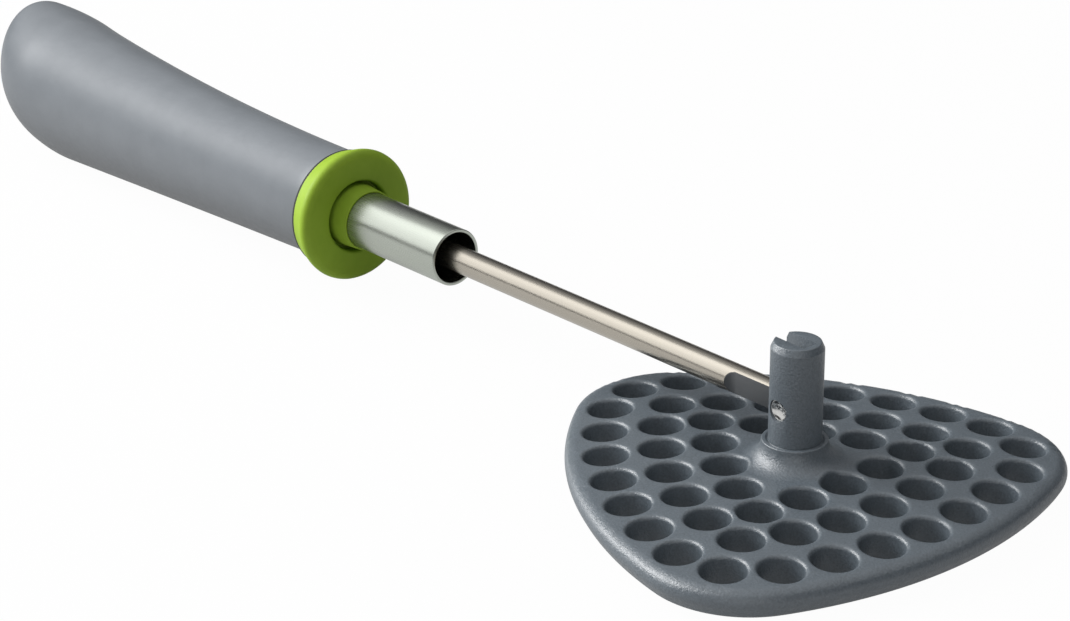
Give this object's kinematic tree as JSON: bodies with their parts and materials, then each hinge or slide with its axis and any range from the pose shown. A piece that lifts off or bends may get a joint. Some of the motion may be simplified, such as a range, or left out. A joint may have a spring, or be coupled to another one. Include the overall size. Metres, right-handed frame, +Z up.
{
  "type": "folding potato masher",
  "caption": "Folding potato masher with a perforated three-cornered head hinged in a slotted post, a round bar, a locking sleeve on a sliding collar and a soft moulded handle.",
  "frame": {"origin": "centre of the head's flat underside, under the axis of the post", "axes": "+Z up along the post's axis, away from the surface the head stands on; the handle lies folded along -X; the hinge's axis is along Y"},
  "size_m": [0.3493, 0.1112, 0.0384],
  "materials": {
    "head_plastic": "fine moulded texture",
    "steel": "satin",
    "collar_plastic": "satin",
    "core_plastic": "plain moulded",
    "ring_rubber": "matte",
    "grip_rubber": "soft matte"
  },
  "bodies": {
    "head": {"mashing_head": "head_plastic", "pivot_rivet": "steel"},
    "handle": {"shaft": "steel", "handle_core": "core_plastic", "anchor_pin": "steel", "grip_skin": "grip_rubber"},
    "sleeve": {"lock_sleeve": "steel", "slide_collar": "collar_plastic", "guide_bush": "core_plastic", "drag_ring": "ring_rubber"}
  },
  "joints": [
    {"name": "head_fold", "type": "hinge", "parent": "head", "child": "handle", "pos_m": [0, 0, 0.0235], "axis": [0, 1, 0], "range_deg": [0, 91.47]},
    {"name": "sleeve_slide", "type": "slide", "parent": "handle", "child": "sleeve", "axis": [0.9997, 0, 0.0257], "range_m": [0, 0.093]}
  ]
}
